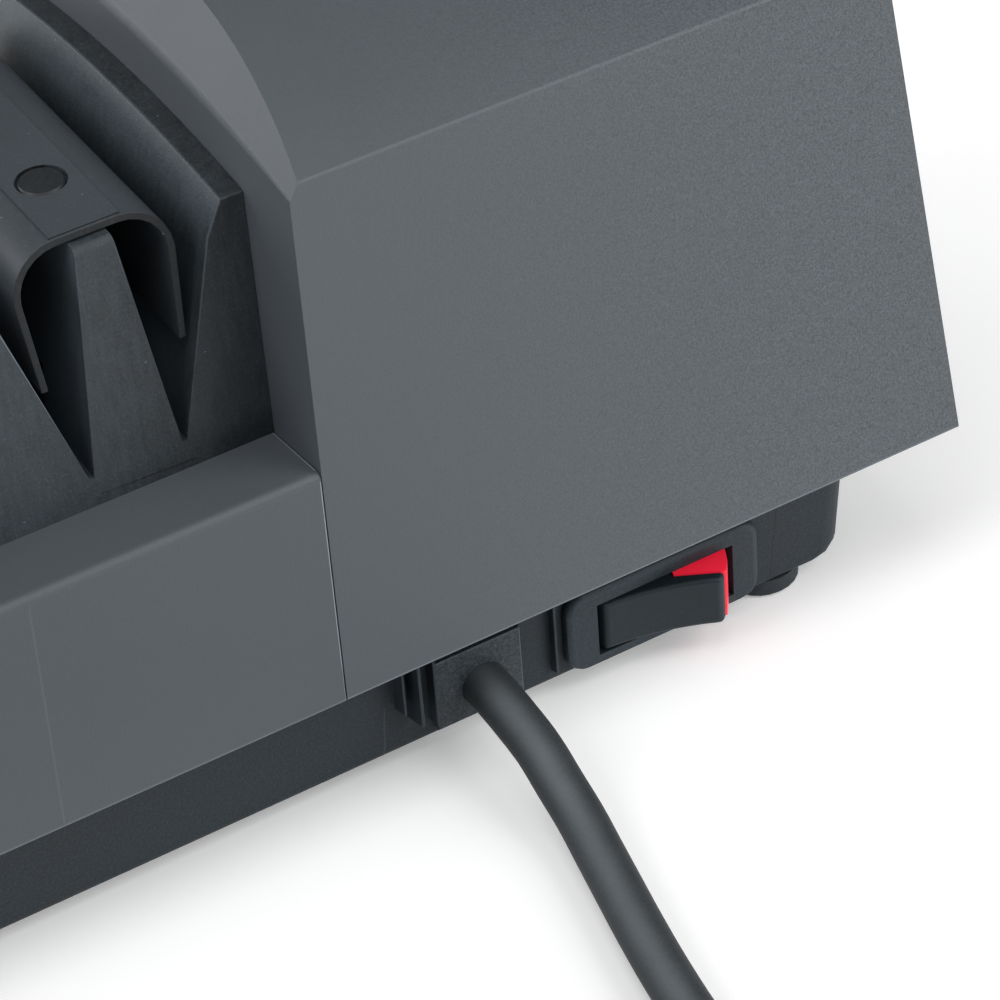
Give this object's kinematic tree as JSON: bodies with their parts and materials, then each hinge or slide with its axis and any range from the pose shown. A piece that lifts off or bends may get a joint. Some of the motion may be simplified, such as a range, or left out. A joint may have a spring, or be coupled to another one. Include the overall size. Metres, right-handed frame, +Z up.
{
  "type": "electric knife sharpener",
  "caption": "Bench-top electric knife sharpener: grey arched housing over a black base, slanted knife slots with guide springs, rocker switch, round mains lead with plug.",
  "frame": {"origin": "on the table under the middle of the housing, at the lowest plane of the feet", "axes": "+X along the length towards the motor end, +Y from the side with the switch and the lead to the far side, +Z up"},
  "size_m": [0.254, 0.2698, 0.1098],
  "materials": {
    "slate": "fine grain",
    "black": "fine grain",
    "spring_grey": "satin",
    "red": "satin",
    "rubber": "matte",
    "cord_grey": "satin vinyl",
    "steel": "turned",
    "iron": "laminated",
    "alloy": "cast",
    "copper": "enamelled copper wire",
    "brass": "plain",
    "nylon": "plain",
    "diamond": "diamond grit on steel",
    "polisher": "fine abrasive in resin"
  },
  "bodies": {
    "housing": {"right_end_cover": "slate", "left_end_cover": "slate", "front_panel": "slate", "rear_panel": "slate", "slot_insert": "black", "base_tray": "black", "switch_body": "black", "cord_plate": "black", "plug_body": "black", "guide_spring_1": "spring_grey", "spring_pin_1_front": "black", "spring_pin_1_rear": "black", "guide_spring_2": "spring_grey", "spring_pin_2_front": "black", "spring_pin_2_rear": "black", "guide_spring_3": "spring_grey", "spring_pin_3_front": "black", "spring_pin_3_rear": "black", "foot_front_left": "rubber", "foot_front_right": "rubber", "foot_rear_left": "rubber", "foot_rear_right": "rubber", "base_screw_1": "steel", "base_screw_2": "steel", "base_screw_3": "steel", "base_screw_4": "steel", "motor_screw_1": "steel", "motor_screw_2": "steel", "cord_clamp": "nylon", "coil_bobbin": "nylon", "bearing_block": "nylon", "stator_stack": "iron", "swarf_magnet": "iron", "stator_winding": "copper", "inner_bracket": "alloy", "outer_bracket": "alloy", "inner_bush": "brass", "outer_bush": "brass", "far_bush": "brass", "plug_blade_front": "brass", "plug_blade_rear": "brass", "cord_stretch": "cord_grey", "cord_coil": "cord_grey", "cord_tail": "cord_grey"},
    "rocker": {"rocker_cap": "black", "rocker_flag": "red"},
    "rotor": {"rotor_shaft": "steel", "rotor_core": "iron", "fan": "nylon", "disc_spring_1": "steel", "disc_spring_2": "steel", "disc_spring_3": "steel"},
    "disc_1_right": {"disc_1_right": "polisher"},
    "disc_1_left": {"disc_1_left": "polisher"},
    "disc_2_right": {"disc_2_right": "diamond"},
    "disc_2_left": {"disc_2_left": "diamond"},
    "disc_3_right": {"disc_3_right": "diamond"},
    "disc_3_left": {"disc_3_left": "diamond"}
  },
  "joints": [
    {"name": "rocker_tilt", "type": "hinge", "parent": "housing", "child": "rocker", "pos_m": [0.0804, -0.041, 0.01015], "axis": [0, 0, 1], "range_deg": [0, 32]},
    {"name": "shaft_spin", "type": "hinge", "parent": "housing", "child": "rotor", "pos_m": [0, 0, 0.045], "axis": [1, 0, 0], "continuous": true},
    {"name": "disc_1_right_slide", "type": "slide", "parent": "rotor", "child": "disc_1_right", "axis": [-1, 0, 0], "range_m": [0, 0.001], "stiffness_N_per_m": 400, "springref_m": -0.003, "deforming": ["disc_spring_1"]},
    {"name": "disc_1_left_slide", "type": "slide", "parent": "rotor", "child": "disc_1_left", "axis": [1, 0, 0], "range_m": [0, 0.001], "stiffness_N_per_m": 400, "springref_m": -0.003, "deforming": ["disc_spring_1"]},
    {"name": "disc_2_right_slide", "type": "slide", "parent": "rotor", "child": "disc_2_right", "axis": [-1, 0, 0], "range_m": [0, 0.001], "stiffness_N_per_m": 400, "springref_m": -0.003, "deforming": ["disc_spring_2"]},
    {"name": "disc_2_left_slide", "type": "slide", "parent": "rotor", "child": "disc_2_left", "axis": [1, 0, 0], "range_m": [0, 0.001], "stiffness_N_per_m": 400, "springref_m": -0.003, "deforming": ["disc_spring_2"]},
    {"name": "disc_3_right_slide", "type": "slide", "parent": "rotor", "child": "disc_3_right", "axis": [-1, 0, 0], "range_m": [0, 0.001], "stiffness_N_per_m": 400, "springref_m": -0.003, "deforming": ["disc_spring_3"]},
    {"name": "disc_3_left_slide", "type": "slide", "parent": "rotor", "child": "disc_3_left", "axis": [1, 0, 0], "range_m": [0, 0.001], "stiffness_N_per_m": 400, "springref_m": -0.003, "deforming": ["disc_spring_3"]}
  ]
}
